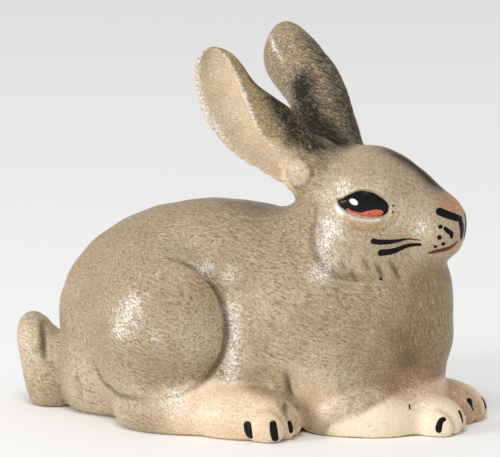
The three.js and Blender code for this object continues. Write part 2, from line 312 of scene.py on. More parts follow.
def ear(name, root, bend, tip, width, fullest, waist, blunt, front, rear):
    """A leaf with a hollow outer face, a rolled front edge and a ridge between the two."""
    bpy.ops.object.select_all(action="DESELECT")
    bpy.ops.mesh.primitive_uv_sphere_add(segments=72, ring_count=64, radius=1)
    piece = bpy.context.object
    piece.name = name + "_leaf"
    on = places(piece) * MM
    t = np.clip((1 + on[:, 2]) / 2, 0, 1)
    around = np.arctan2(on[:, 1], on[:, 0])
    side, lift = np.cos(around), np.sin(around)
    place, way = along_curve(root, bend, tip, t)
    out = EAR_FACES - way * (way @ EAR_FACES)[:, None]
    out /= np.linalg.norm(out, axis=1)[:, None]
    across = np.cross(way, out)
    widest = smoothstep(t, -0.16, fullest)
    closing = np.sqrt(np.maximum(0, 1 - np.maximum(0, (t - fullest) / (1 - fullest)) ** blunt))
    share = (waist + (1 - waist) * widest) * closing * np.sqrt(np.minimum(1, t / 0.08))
    reach = width / 2 * share * side * (1 - np.where(side > 0, pinch(t, *front), pinch(t, *rear)))
    roll = EAR_ROLL * (1 - 0.6 * t)
    ridge = ridge_at(t)
    middle = (ridge - 1) / 2
    in_hollow = np.clip((side - middle) / (ridge - middle), -1, 1)
    hollow = (EAR_HOLLOW + EAR_RIM) * (1 - in_hollow**2) ** 1.4
    band = roll * (np.maximum(side - ridge, 0) / (1 - ridge)) ** 1.6
    face = EAR_RIM * np.abs(lift) - hollow - band
    back = -roll * (side + 1) / 2 - EAR_THICK * np.abs(lift)
    height = np.where(lift > 1e-6, face, back)
    found = place + across * reach[:, None] + out * (share * height)[:, None]
    found[:, 0] += AHEAD
    if name == "ear_left":
        found[:, 1] *= -1
    put(piece, found)
    ear_marks.append((found, t, side, lift))
    weld(piece)
    return piece


# ---- The skin ----
CLOSE_CUTS = 0.25           # each solid's copy is swelled by this before they are joined
VOXEL = 0.8


def copy_of(node):
    piece = bpy.data.objects.new(node + "_copy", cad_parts[node].data.copy())
    bpy.context.scene.collection.objects.link(piece)
    edit(piece, (bpy.ops.mesh.remove_doubles, dict(threshold=WELD)))
    modify(piece, "DISPLACE", strength=CLOSE_CUTS * MM, mid_level=0.0, direction="NORMAL")
    return piece


def tree_of(piece):
    corners = [Vector(c) for c in places(piece)]
    return BVHTree.FromPolygons(corners, [tuple(f.vertices) for f in piece.data.polygons])


ears = [ear(name, **sizes) for name, sizes in EARS.items()]
EAR_TREES = [(tree_of(e), places(e).min(0) - 3, places(e).max(0) + 3) for e in ears]


def ear_distance(p):
    """How far points are outside the ears, up to a few millimetres; negative inside."""
    found = np.full(len(p), 9.0)
    for tree, low, high in EAR_TREES:
        for i in np.nonzero(((p > low) & (p < high)).all(1))[0]:
            here = Vector(p[i])
            near, facing, _, gap = tree.find_nearest(here)
            found[i] = min(found[i], gap if (here - near).dot(facing) > 0 else -gap)
    return found


EAR_BLEND = 1.6


def skin_form(p):
    return blend(clay(p), ear_distance(p), EAR_BLEND)


def settle(piece, rounds=3):
    """Moves every vertex onto the modelled form."""
    found = places(piece)
    step = 0.02
    for _ in range(rounds):
        here = skin_form(found)
        slope = np.stack([(skin_form(found + step * np.eye(3)[k]) - here) / step for k in range(3)], 1)
        size = np.maximum((slope**2).sum(1), 0.15)
        move = -slope * (here / size)[:, None]
        reach = np.linalg.norm(move, axis=1)
        found += move * np.minimum(1, 0.6 / np.maximum(reach, 1e-9))[:, None]
    put(piece, found)


body_copies = [copy_of(node) for node in FLESH if not node.startswith("ear")]
for leaf in ears:
    modify(leaf, "DISPLACE", strength=CLOSE_CUTS * MM, mid_level=0.0, direction="NORMAL")
skin = join(body_copies + ears, "skin")
modify(skin, "REMESH", mode="VOXEL", voxel_size=VOXEL * MM, use_smooth_shade=True)
settle(skin)
modify(skin, "SMOOTH", factor=0.5, iterations=3)
settle(skin, 2)


# ---- Marks on the surface: creases, strokes and patches share these ----
def smooth_line(points, gap=0.15):
    """A Catmull-Rom line through points, with a place every gap millimetres or so."""
    p = np.array(points, float)
    p = np.vstack([2 * p[0] - p[1], p, 2 * p[-1] - p[-2]])
    line = []
    for a, b, c, d in zip(p, p[1:], p[2:], p[3:]):
        n = max(2, int(np.linalg.norm(c - b) / gap))
        t = np.arange(n)[:, None] / n
        bend = (2 * a - 5 * b + 4 * c - d) * t**2
        twist = (3 * b - a - 3 * c + d) * t**3
        line.append(0.5 * (2 * b + (c - a) * t + bend + twist))
    return np.vstack(line + [p[-2:-1]])


def side_line(points, side):
    """A line on the flank, given as X and Z: cast sideways onto the skin."""
    flat = smooth_line(points)
    found = []
    for x, z in flat:
        hit = SKIN_TREE.ray_cast(Vector((x, side * 60, z)), Vector((0, -side, 0)))[0]
        if hit is not None:
            found.append(hit)
    return np.array(found)


def tree_of_points(points):
    tree = KDTree(len(points))
    for i, point in enumerate(points):
        tree.insert(point, i)
    tree.balance()
    return tree


def gap_to(line, at):
    """Each place's distance from a line, and how far along the line it is, from 0 to 1."""
    gap = np.full(len(at), 99.0)
    along = np.zeros(len(at))
    near = ((at > line.min(0) - 4) & (at < line.max(0) + 4)).all(1).nonzero()[0]
    tree = tree_of_points(line)
    for i in near:
        _, k, gap[i] = tree.find(at[i])
        along[i] = k / (len(line) - 1)
    return gap, along


def arc(centre, radius, start, end, count=16):
    """Points along an arc seen from the side, its ends given in degrees from ahead upwards."""
    turns = np.radians(np.linspace(start, end, count))
    return [(centre[0] + radius * math.cos(t), centre[1] + radius * math.sin(t)) for t in turns]


# Creases and folds of each side: the line as X and Z, its half width, how deep it is (a negative one stands
# out) and how dark the painted shade lies in it.
CREASES = [
    # round the thigh, and under it
    (arc((HAUNCH_X + AHEAD, HAUNCH_Z), HAUNCH_R - 1.6, 84, -78), 0.5, 0.8, 1.0),
    ([(-25.8, 11.8), (-24.6, 9.6), (-23.3, 7.4), (-20, 6.9), (-16, 6.6), (-12, 6.7)], 0.4, 0.5, 0.9),
    # upright folds at the rump
    ([(-31.4, 9.6), (-30.8, 6.4), (-30.4, 3)], 0.45, -0.35, 0.0),
    ([(-30.3, 9), (-29.7, 6), (-29.4, 3.2)], 0.4, 0.3, 0.4),
    ([(-25.7, 8.6), (-25.1, 5.6), (-25.3, 2)], 0.45, -0.35, 0.0),
    ([(-36.6, 7.6), (-36.2, 5), (-36.1, 2.6)], 0.45, 0.35, 0.4),
    # down the tail
    ([(-41.1, 16.2), (-40.7, 15), (-40.1, 13.2), (-39.7, 11.2), (-39, 9.4)], 0.55, 0.9, 1.0),
    # behind the foreleg
    ([(15.9, 12.6), (15.8, 10.5), (15.8, 8.3), (16.6, 6), (17.7, 4.2)], 0.55, 0.9, 1.0),
    # the ruff round the cheek, and the tufts in it
    ([(19.2, 43.5), (19.3, 40.7), (19.0, 38.3), (19.6, 35.9), (21, 33.6), (22.9, 32.2), (24.9, 31.2),
      (27.2, 30.5), (29.8, 30.3), (32.4, 30)], 0.6, 0.6, 0.7),
    ([(25.3, 33.4), (26.7, 31.8)], 0.4, 0.35, 0.6),
    ([(27.3, 31.8), (29, 30.1)], 0.45, 0.45, 0.9),
    ([(29.6, 33.9), (31, 31.6)], 0.4, 0.4, 0.7),
    ([(32, 33), (33.7, 29.8)], 0.45, 0.45, 0.9),
    ([(34.2, 33.2), (36.4, 30)], 0.45, 0.45, 0.9),
    ([(23, 35.4), (24.4, 33.6)], 0.35, 0.3, 0.5),
    ([(21.2, 37.4), (22.2, 35.6)], 0.35, 0.3, 0.5),
    ([(20.6, 39.6), (21.4, 37.9)], 0.35, 0.25, 0.4),
    # round the ear's lobe
    ([(14.5, 52.2), (16.7, 52.2), (18.5, 50.6), (18.8, 49.2), (17.8, 47.4), (15.7, 46.2)], 0.5, 0.35, 0.55),
    # soft folds on the flank and the elbow
    ([(9.1, 13.4), (9.3, 10.2)], 0.5, -0.18, 0.0),
    ([(25.6, 11.3), (25.2, 7.4)], 0.6, -0.2, 0.0),
    ([(28.4, 8.2), (28.2, 5.8)], 0.5, 0.2, 0.3),
]
SPLIT_NEAR = 1.6            # the mesh is made finer this near a crease

SKIN_TREE = tree_of(skin)
crease_lines = []
for points, width, depth, dark in CREASES:
    for side in (-1, 1):
        crease_lines.append((side_line(points, side), width, depth, dark))

at = middles(skin)
IN_FACE = (at[:, 0] > 22) & (at[:, 2] > 31)
IN_EARS = at[:, 2] > 47.5
IN_PAWS = ((at[:, 0] > 34) & (at[:, 2] < 9.5)) | ((at[:, 0] > 4) & (at[:, 2] < 9) & (np.abs(at[:, 1]) > 13.5))
BY_CREASE = np.zeros(len(at), bool)
for line, *_ in crease_lines:
    BY_CREASE |= gap_to(line, at)[0] < SPLIT_NEAR
split_faces(skin, IN_FACE | IN_EARS | IN_PAWS | BY_CREASE)
modify(skin, "SMOOTH", factor=0.5, iterations=2)
settle(skin, 2)

# ---- The eyes' places and outline ----
EYE_REAR = np.array([24.35, 44.6])       # the corners, in X and Z
EYE_FRONT = np.array([34.5, 43.2])
EYE_UP = 2.95
EYE_DOWN = 2.4
EYE_DOME = 1.15             # how far the eyeball bulges out, how deep it goes in, and how far it is set in
EYE_DEEP = 1.6
EYE_SET_IN = 0.25
EYE_FALL_LONG = 0.018       # how fast it falls back from its middle, along and up, per square millimetre
EYE_FALL_UP = 0.012


def eye_frame(side):
    """The eye's middle on the skin, and its long, upward and outward directions."""
    middle = (EYE_REAR + EYE_FRONT) / 2
    hits = []
    for x, z in (middle, middle + (1.5, 0), middle + (0, 1.5)):
        hits.append(np.array(SKIN_TREE.ray_cast(Vector((x, side * 60, z)), Vector((0, -side, 0)))[0]))
    centre = hits[0]
    out = np.cross(hits[2] - centre, hits[1] - centre) * side
    out /= np.linalg.norm(out)
    long = EYE_FRONT - EYE_REAR
    long = np.array([long[0], 0, long[1]])
    long -= out * long.dot(out)
    long /= np.linalg.norm(long)
    up = np.cross(out, long) * -side
    return centre, long, up, out


EYE_HALF = float(np.linalg.norm(EYE_FRONT - EYE_REAR)) / 2


def lid_bow(u, upper):
    """How far the lids bow out at u, from the rear corner at -1 to the front one at 1: slim at the rear."""
    over = np.where(u < 0, 1 - 0.9 * np.abs(u) ** 1.75, 1 + 0.16 * u - 0.2 * u**4)
    return np.where(upper, EYE_UP * over, EYE_DOWN * (1 + 0.12 * u))


def eye_place(at, side):
    """Places in the eye's own directions, and how far each is out from the outline in millimetres."""
    centre, long, up, out = eye_frame(side)
    d = at - centre
    u, h, n = d @ long, d @ up, d @ out
    tall = np.maximum(lid_bow(np.clip(u / EYE_HALF, -1, 1), h > 0), 0.8)
    r = np.maximum(np.hypot(u / EYE_HALF, h / tall), 1e-6)
    slope = np.hypot(u / EYE_HALF**2, h / tall**2) / r
    return u, h, n, (r - 1) / np.maximum(slope, 1e-6)


at = middles(skin)
near_eye = np.zeros(len(at), bool)
for side in (-1, 1):
    u, h, n, gap = eye_place(at, side)
    near_eye |= (np.abs(n) < 4) & (gap < 2.2)
near_nose = (at[:, 0] > 40.5) & (at[:, 2] > 33) & (at[:, 2] < 45)
split_faces(skin, near_eye | near_nose)
modify(skin, "SMOOTH", factor=0.4, iterations=1)
settle(skin, 2)
at = places(skin)
behind_ears = smoothstep(at[:, 2], 45, 47.5) * (1 - smoothstep(at[:, 0], 17, 20.5))
even_out(skin, np.maximum(smoothstep(at[:, 2], 49, 52), behind_ears), 8)
SKIN_TREE = tree_of(skin)

# ---- Modelling on the skin: creases, lids and the unevenness of a hand-finished cast ----
LID_UPPER = 0.12            # how far the lids stand out, and how deep the folds behind them are
LID_LOWER = 0.16
FOLD_UPPER = 0.06
FOLD_LOWER = 0.18
LID_AT = 0.5                # how far out from the eye's outline the lids and the folds are
FOLD_AT = 2.1
SOCKET_DEEP = 0.7
UNEVEN = 0.035
UNEVEN_WAYS = [(0.9, 0.5, 1.3), (-1.1, 1.4, 0.6), (0.5, -0.9, 1.7), (1.9, 1.2, -0.7)]


def spots(found, places_and_sizes):
    """How much each place is covered by soft round spots of either side: centre, radius and strength."""
    cover = np.zeros(len(found))
    folded = np.stack([found[:, 0], np.abs(found[:, 1]), found[:, 2]], 1)
    for centre, radius, strength in places_and_sizes:
        gap = np.linalg.norm(folded - np.array(centre), axis=1)
        cover = np.maximum(cover, strength * bell(gap, 0, radius))
    return cover


def mark(piece, name, values):
    """Keeps a value for each vertex, which the paints read by name."""
    kept = piece.data.attributes.new(name, "FLOAT", "POINT")
    kept.data.foreach_set("value", np.clip(values, 0, 1).astype(np.float32))


found = places(skin)
out_of_skin = normals(skin)
shade = np.zeros(len(found))
push = np.zeros(len(found))
for line, width, depth, dark in crease_lines:
    gap, along = gap_to(line, found)
    ends = np.sin(np.pi * np.clip(along, 0.02, 0.98)) ** 0.4
    push -= depth * bell(gap, 0, width) * ends
    # painted shade darkens each crease
    shade = np.maximum(shade, dark * bell(gap, 0, width * 1.15) * ends)
ochre = np.zeros(len(found))
lid_highlight = np.zeros(len(found))
lid_white_and_highlight = np.zeros(len(found))
for side in (-1, 1):
    u, h, n, gap = eye_place(found, side)
    close = (np.abs(n) < 4) & (np.sign(found[:, 1]) == side)
    upper = h > 0
    under = close & (h < 0) & (np.abs(u) < EYE_HALF)
    lids = np.where(upper, LID_UPPER, LID_LOWER) * bell(gap, LID_AT, 0.35)
    folds = -np.where(upper, FOLD_UPPER, FOLD_LOWER) * bell(gap, FOLD_AT, 0.35)
    socket = -SOCKET_DEEP * (1 - smoothstep(gap, -0.3, 0.2))
    push += np.where(close, lids + folds + socket, 0)
    # painted shade in the fold under each eye
    fold_shade = 0.5 * bell(gap, FOLD_AT, 0.25) * (1 - (u / EYE_HALF) ** 2)
    shade = np.maximum(shade, np.where(under, fold_shade, 0))
    ochre += np.where(under, bell(gap, 1.3, 0.6, 4) * (1 - (u / EYE_HALF) ** 4), 0)
    # a painted highlight along the lids
    lid_highlight += np.where(close, bell(gap, 0.55, 0.3), 0)
    # a painted highlight below each eye's rear corner, and a white painted hem along the lower lid
    corner_highlight = bell(u, -4.3, 0.95, 4) * bell(gap, 0.3, 0.52, 4)
    hem = 0.6 * bell(gap, 0.12, 0.2) * (1 - smoothstep(u, 3.2, 4.4))
    lid_white_and_highlight += np.where(close & (h < 0), np.maximum(corner_highlight, hem), 0)
for shift, way in enumerate(UNEVEN_WAYS):
    push += UNEVEN * np.sin(found @ np.array(way) * 0.55 + shift)
found += out_of_skin * push[:, None]
found[:, 2] = np.maximum(found[:, 2], 0)
put(skin, found)
SKIN_TREE = tree_of(skin)


# ---- Where each paint lies on the skin ----
# Soft spots of either side: centre, radius and strength.
# The elbow's cream is partly its paint and partly painted light.
ELBOW_SPOTS = [((20.5, 17, 6.5), 5.5, 0.85)]
# Dark spots on the chest and behind the ear's lobe, in the brown of the painted shade.
DARK_SPOTS = [((37.8, 9.7, 14.5), 3.4, 0.7), ((36.7, 11.4, 18.6), 3.2, 0.45), ((20.2, 7.7, 51.2), 2, 0.6)]
BLUSH_SPOTS = [((44.4, 1.5, 43.4), 2.6, 1), ((37.6, 7.8, 9.6), 4, 0.9), ((44.4, 2.4, 34.6), 1.5, 0.6)]
# Paler places: paler paint, and on the flank, the thigh's front and the elbow painted light.
PALE_AND_HIGHLIGHT_SPOTS = [
    # the back, the tail, the rump and the heel
    ((-6.5, 14, 37), 7, 0.3), ((-44, 3, 12), 7, 0.8), ((-30, 14, 5), 8, 0.6), ((-20, 17, 3), 7, 0.5),
    # the flank and the thigh's front, as painted highlights, the elbow, partly painted light, and the forearm
    ((5, 17.4, 15), 4, 0.55), ((4.5, 17, 24), 3, 0.5), ((0.5, 21.5, 18.5), 6, 0.6), ((22, 17, 8), 8, 0.7),
    ((28, 16.5, 3), 5, 0.7),
    # the muzzle
    ((40.5, 6, 38.5), 4, 0.45), ((37.5, 8, 42.5), 4, 0.45),
]
# Painted highlights: spots where the varnish catches the light.
HIGHLIGHT_SPOTS = [
    # the cheek, the ruff, round the eye and the muzzle
    ((23.4, 11.8, 39.6), 2.4, 1), ((22.2, 12.2, 36.6), 2, 0.9), ((23.6, 13, 34.2), 2, 0.5),
    ((21.7, 14, 31.5), 2, 0.9), ((25.4, 9.9, 47.2), 1.5, 0.8), ((22, 10.6, 45.5), 1.8, 0.4),
    ((39.4, 6.9, 39.8), 1.4, 0.9),
    # the thigh, the flank, the heel and the forepaw
    ((-14.4, 23.4, 22.6), 3.4, 0.6), ((-7.7, 24.5, 19.5), 1.2, 0.7), ((-1, 15.9, 31.5), 1.6, 1),
    ((3.9, 15, 30.2), 1.6, 0.6), ((-4.5, 22.6, 6.8), 2.6, 0.9), ((39.5, 8.6, 7.4), 3.4, 0.5),
]
# Longer painted highlights, down the flank and on the thigh: places, half width and strength.
HIGHLIGHT_LINES = [
    ([(4.9, 17, 24.5), (5.4, 17.5, 18), (4.6, 17.6, 12.5), (4.3, 17.9, 10)], 1.3, 0.8),
    ([(-15.9, 23.2, 20), (-14.4, 23.5, 22.8), (-13, 23.5, 25.6)], 1.7, 0.9),
]
# The upper edge of the cream on the feet and the paws: X and the height there.
FOOT_EDGE = [(-5, 9), (-3.7, 9.6), (1.7, 10.8), (7.5, 9.8), (14.5, 7.6), (18.4, 2.4), (19, -2)]
PAW_EDGE = [(21, -2), (23.9, 2.4), (30, 4.7), (35, 7.8), (38, 9.5), (41, 9.4), (48, 9.4)]
LOBE = np.array([(7.5, 12.6, 55.8), (12, 10.4, 52.4), (15.7, 8.8, 49.3)])
# The smoke between the ears, along the valley of either side.
SMOKE = [
    [(15, 8.6, 57), (18, 6.8, 54.6), (20.5, 3.5, 53), (20, 0.4, 53.4)],
    [(13.4, 4.6, 58.6), (16, 3.4, 56.6), (19, 1.6, 54.6), (20.4, 0.6, 53.6)],
    [(9.6, 6.4, 58.3), (12, 4.9, 56), (14.6, 2, 55.4), (18.9, 0.6, 54.1), (21.4, 1.4, 53.6)],
]


def ear_places(found):
    """For places on the ears: how far along, how far across and how far outwards; else along is -1."""
    share = np.full((len(found), 3), -1.0)
    for at, t, side, lift in ear_marks:
        tree = tree_of_points(at)
        own = np.stack([t, side, lift], 1)
        near = ((found > at.min(0) - 1) & (found < at.max(0) + 1)).all(1).nonzero()[0]
        for i in near:
            best = tree.find_n(found[i], 4)
            if best[0][2] < 1.2:
                weight = np.array([1 / (gap + 0.05) for _, _, gap in best])
                share[i] = (own[[k for _, k, _ in best]] * weight[:, None]).sum(0) / weight.sum()
    return share


side_of = np.sign(found[:, 1])
facing = normals(skin)
facing_out = facing[:, 1] * side_of
x, y, z = found[:, 0], np.abs(found[:, 1]), found[:, 2]
folded = np.stack([x, y, z], 1)
along_ear, across_ear, out_of_ear = ear_places(found).T
on_ear = along_ear > 0.02
past_ridge = across_ear - ridge_at(along_ear)

# The cream ground of the feet, the paws, the elbows and the ears' hollows.
foot = 1 - smoothstep(z - np.interp(x, *zip(*FOOT_EDGE)), -0.9, 0.7)
foot *= smoothstep(x, -12, -2) * smoothstep(y, 11.5, 13.5) * (x < 21)
paw = (1 - smoothstep(z - np.interp(x, *zip(*PAW_EDGE)), -0.9, 0.7)) * smoothstep(x, 21, 24)
mark(skin, "cream", np.maximum.reduce([foot, paw, spots(found, ELBOW_SPOTS)]))
# painted shade on the forepaws' inner sides, which face each other
mark(skin, "paw_shade", paw * smoothstep(-facing_out, -0.1, 0.5) * (x > 34))
mark(skin, "milky", paw * smoothstep(facing_out, 0.0, 0.7) * (1 - smoothstep(z, 4, 9)))
hollow = on_ear * (1 - smoothstep(past_ridge, -0.12, 0.02)) * smoothstep(out_of_ear, -0.05, 0.2)
hollow *= smoothstep(facing_out, -0.1, 0.2) * smoothstep(y, 4, 6.5)
to_lobe, _ = gap_to(smooth_line(LOBE), folded)
lobe = (1 - smoothstep(to_lobe, 2.1, 2.9)) * smoothstep(facing_out, 0.05, 0.35)
mark(skin, "hollow", np.maximum(hollow * (1 - 0.5 * smoothstep(along_ear, 0.78, 0.97)), 0.65 * lobe))

# The ears' rolled bands, their speckled inner faces, the smoke that joins them, and painted shade along their
# front edges.
mark(skin, "band", on_ear * smoothstep(past_ridge, -0.02, 0.12) * smoothstep(out_of_ear, -0.1, 0.15))
inner = on_ear * (1 - smoothstep(out_of_ear, -0.35, 0.05)) * (1 - 0.5 * smoothstep(along_ear, 0.45, 0.95))
mark(skin, "inner", inner)
smoke = np.zeros(len(found))
for points in SMOKE:
    to_smoke, along_smoke = gap_to(smooth_line(points), folded)
    cover = 0.95 * bell(to_smoke, 0, 2.6 - 0.5 * along_smoke)
    smoke = np.maximum(smoke, cover * (1 - hollow) * (1 - lobe))
rolled = 0.95 * on_ear * smoothstep(past_ridge, 0.15, 0.75) * (1 - smoothstep(along_ear, 0.55, 0.9))
rolled *= smoothstep(out_of_ear, -0.2, 0.1)
streak_at = np.interp(along_ear, [0.2, 0.4, 0.64], [-0.2, -0.05, 0.3])
streak = on_ear * (out_of_ear < 0.1) * bell(across_ear, streak_at, 0.55)
streak *= 1.12 * smoothstep(along_ear, 0.08, 0.34) * (1 - smoothstep(along_ear, 0.5, 0.7))
# painted shade along the ears' front edges, in the smoke's black
edge = on_ear * smoothstep(across_ear, 0.45, 0.92) * (out_of_ear < 0.15)
edge *= 1 - smoothstep(along_ear, 0.7, 0.96)
mark(skin, "smoke", np.maximum.reduce([smoke, rolled, streak, 0.75 * edge]))

# Darker towards the top of the back, the dark stripe down the face, the painted shade, what is flushed, and
# what is paler or a painted highlight.
up = facing[:, 2]
darker_top = smoothstep(z, 30, 42) * (x < 24) * (1 - on_ear) * smoothstep(up, -0.1, 0.7)
mark(skin, "darker_top", 0.2 * darker_top)
stripe = bell(y, 0, 2.6) * smoothstep(x, 25, 34) * (1 - smoothstep(x, 39.5, 44.6))
stripe *= smoothstep(up, 0.0, 0.4) * smoothstep(z, 37, 39.5)
mark(skin, "stripe", stripe)
mark(skin, "shade", np.maximum(shade, spots(found, DARK_SPOTS)))
mark(skin, "blush", spots(found, BLUSH_SPOTS))
mark(skin, "pale_and_highlight", spots(found, PALE_AND_HIGHLIGHT_SPOTS))
mark(skin, "ochre", ochre)
mark(skin, "lid_highlight", lid_highlight)
mark(skin, "lid_white_and_highlight", lid_white_and_highlight)
mark(skin, "on_face", smoothstep(x, 19, 25) * smoothstep(z, 29, 34))
mark(skin, "on_front", smoothstep(facing[:, 0], 0.35, 0.75) * (z < 33) * (x > 10))

# Painted highlights: pale flecks where the light catches the high places and the ears' rims.
on_ridge = bell(past_ridge, -0.05, 0.06) * (out_of_ear > 0) * smoothstep(along_ear, 0.1, 0.5)
on_rear = bell(across_ear, -0.88, 0.08) * (out_of_ear > -0.3) * smoothstep(along_ear, 0.48, 0.6)
shine_at = np.interp(along_ear, [0.75, 0.95], [-0.05, -0.3])
shine = bell(across_ear, shine_at, 0.09) * (out_of_ear < 0) * smoothstep(along_ear, 0.68, 0.82)
rim_highlight = on_ear * np.maximum.reduce([on_ridge, on_rear, shine * (1 - smoothstep(along_ear, 0.92, 0.97))])
painted_highlight = spots(found, HIGHLIGHT_SPOTS)
for points, radius, strength in HIGHLIGHT_LINES:
    to_line, _ = gap_to(smooth_line(points), folded)
    painted_highlight = np.maximum(painted_highlight, strength * bell(to_line, 0, radius))
mark(skin, "painted_highlight", np.maximum(painted_highlight, 0.9 * rim_highlight))


# ---- Eyes ----
def eye(side, name):
    """A domed almond let into the head between its lids."""
    bpy.ops.object.select_all(action="DESELECT")
    bpy.ops.mesh.primitive_uv_sphere_add(segments=64, ring_count=40, radius=1)
    piece = bpy.context.object
    piece.name = name
    on = places(piece) * MM
    centre, long, up, out = eye_frame(side)
    u = on[:, 0]
    edge = np.maximum(np.sqrt(np.maximum(0, 1 - u * u)), 1e-6)
    h = on[:, 1] / edge * np.sqrt(1 - np.minimum(u * u, 1)) * lid_bow(u, on[:, 1] > 0)
    flat = centre + long * (u * EYE_HALF)[:, None] + up * h[:, None]
    fall = EYE_FALL_LONG * (u * EYE_HALF) ** 2 + EYE_FALL_UP * h**2
    lift = np.where(on[:, 2] > 0, EYE_DOME, EYE_DEEP) * on[:, 2] - EYE_SET_IN - fall
    put(piece, flat + out * lift[:, None])
    weld(piece)
    bpy.ops.object.shade_smooth()
    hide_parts("eye_" + name.split("_")[1])
    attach(piece, "root")
    return piece


eyes = {-1: eye(-1, "eyeball_right"), 1: eye(1, "eyeball_left")}
EYE_TREES = {side: tree_of(piece) for side, piece in eyes.items()}

# ---- Brush strokes: thick paint, a little proud of what it lies on ----
STROKE_HIGH = 0.07          # how proud a stroke's middle stands, and how thick the paint is
STROKE_DEEP = 0.14
STROKE_SUNK = 0.012         # its edges lie this far under the surface


def on_surface(tree, points):
    """The nearest places on a surface, and which way it faces there."""
    hits = [tree.find_nearest(Vector(p))[:2] for p in points]
    return np.array([h[0] for h in hits]), np.array([h[1] for h in hits])


def stroke(tree, points, halves):
    """One stroke along a line on a surface. Halves are its half widths, evenly along it."""
    line, facing = on_surface(tree, smooth_line(points, 0.14))
    run = np.concatenate([[0], np.cumsum(np.linalg.norm(np.diff(line, axis=0), axis=1))])
    way = np.gradient(line, axis=0)
    way /= np.linalg.norm(way, axis=1)[:, None]
    across = np.cross(facing, way)
    across /= np.linalg.norm(across, axis=1)[:, None]
    bpy.ops.object.select_all(action="DESELECT")
    bpy.ops.mesh.primitive_grid_add(x_subdivisions=len(line) - 1, y_subdivisions=8, size=2)
    piece = bpy.context.object
    on = places(piece) * MM
    at = (on[:, 0] + 1) / 2 * run[-1]
    half = np.interp(at, np.linspace(0, run[-1], len(halves)), halves)
    to_end = np.minimum(at, run[-1] - at)
    ends = np.sqrt(np.clip(1 - (1 - to_end / half) ** 2, 0, 1) * (to_end < half) + (to_end >= half))

    def along(values):
        return np.stack([np.interp(at, run, values[:, k]) for k in range(3)], 1)

    spread = along(line) + along(across) * (half * ends * on[:, 1])[:, None]
    base, out = on_surface(tree, spread)
    proud = STROKE_HIGH * (1 - on[:, 1] ** 4) * ends - STROKE_SUNK
    put(piece, base + out * proud[:, None])
    edit(piece, (bpy.ops.mesh.remove_doubles, dict(threshold=2 * WELD)))
    modify(piece, "SOLIDIFY", thickness=STROKE_DEEP * MM, offset=-1.0)
    weld(piece)
    bpy.ops.object.shade_smooth()
    return piece


def mirrored(points, side):
    return [(px, side * py, pz) for px, py, pz in points]


def in_eye(points, side):
    """Places given along and up the eye, in millimetres from its middle."""
    centre, long, up, out = eye_frame(side)
    return [centre + long * u + up * h + out * 0.6 for u, h in points]


def strokes(pieces, name):
    """The strokes of one paint, as one piece."""
    piece = join(pieces, name)
    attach(piece, "root")
    return piece


# Each stroke has its places, on the left side, and its half widths. A dab has its place and its radius.
WHISKERS = [
    ([(31.0, 10.9, 37.4), (32.6, 10.4, 37), (35, 9.2, 36.8), (37.4, 8, 36.8)], [0.58, 0.58, 0.44, 0.24]),
    ([(32.4, 10.7, 34.8), (35, 9.3, 35), (37.4, 7.7, 35.5), (39.6, 6.3, 36.1)], [0.72, 0.6, 0.44, 0.36]),
]
NOSTRIL = ([(42.1, 4.9, 42.7), (43.9, 3.9, 41.8), (45.3, 2.2, 40.8), (45.8, 0.7, 40.2)],
           [0.85, 0.88, 0.8, 0.6])
PHILTRUM = ([(45.5, 1.7, 40.4), (45.8, 1.2, 39.2), (45.7, 0.9, 37.6), (45.2, 0.8, 36.4)],
            [0.7, 0.85, 0.8, 0.45])
HOOK = ([(43.5, 4.8, 39.4), (44.1, 4.3, 38.6), (44.6, 3.8, 38), (44.6, 3.6, 37)], [0.36, 0.5, 0.54, 0.4])
DOTS = [
    ((43, 5.1, 39.5), 0.48), ((42.8, 5.4, 37.5), 0.5), ((43.3, 4.7, 36.2), 0.46), ((42, 5.4, 35.7), 0.42),
    ((33.2, 11.3, 30.3), 0.36),
]
CLAWS = [
    ([(10.5, 24.6, 4.3), (10.6, 24.7, 2.4), (10.7, 24.2, 0.4)], [0.86, 0.96, 0.86]),
    ([(15.6, 24.4, 4.7), (15.8, 24.4, 2.4), (16, 23.9, 0.4)], [0.72, 0.84, 0.7]),
    ([(17.7, 21.2, 4.2), (17.9, 21.1, 2.8), (18, 20.9, 1.4)], [0.4, 0.5, 0.4]),
    ([(45.3, 10.2, 3.7), (44.5, 10.8, 3.4), (44.1, 11.2, 2.3), (44.0, 11.2, 0.9)], [0.46, 0.6, 0.72, 0.6]),
    ([(46.4, 6.4, 4.6), (46.8, 6.5, 3.4), (47.1, 6.5, 2)], [0.4, 0.5, 0.4]),
    ([(44.9, 3.0, 5), (45.7, 2.6, 4), (46.4, 2.2, 2.4)], [0.6, 0.7, 0.5]),
    ([(38.1, 10.9, 6.2), (38.4, 11.5, 5.2)], [0.2, 0.2]),
]
LASHES = [([(5.45, 0.85), (6.05, 0.6)], [0.2, 0.14]), ([(5.4, -0.3), (6.05, -0.6)], [0.24, 0.18])]
black = []
for side in (-1, 1):
    for points, halves in LASHES:
        black.append(stroke(SKIN_TREE, in_eye(points, side), halves))
    for points, halves in WHISKERS + [NOSTRIL, PHILTRUM, HOOK] + CLAWS:
        black.append(stroke(SKIN_TREE, mirrored(points, side), halves))
    for (px, py, pz), radius in DOTS:
        dab = [(px, side * py, pz + radius), (px, side * py, pz - radius)]
        black.append(stroke(SKIN_TREE, dab, [radius, radius]))
black_strokes = strokes(black, "black_strokes")

EYE_RED = ([(-3.3, -1.2), (-2.3, -1.85), (-0.25, -2.0), (1.05, -1.6), (2.3, -1.3), (3.5, -1.0), (4.1, -0.8)],
           [0.16, 0.36, 0.46, 0.5, 0.62, 0.82, 0.88, 0.78, 0.4])
red = [stroke(EYE_TREES[side], in_eye(EYE_RED[0], side), EYE_RED[1]) for side in (-1, 1)]
red_strokes = strokes(red, "red_strokes")

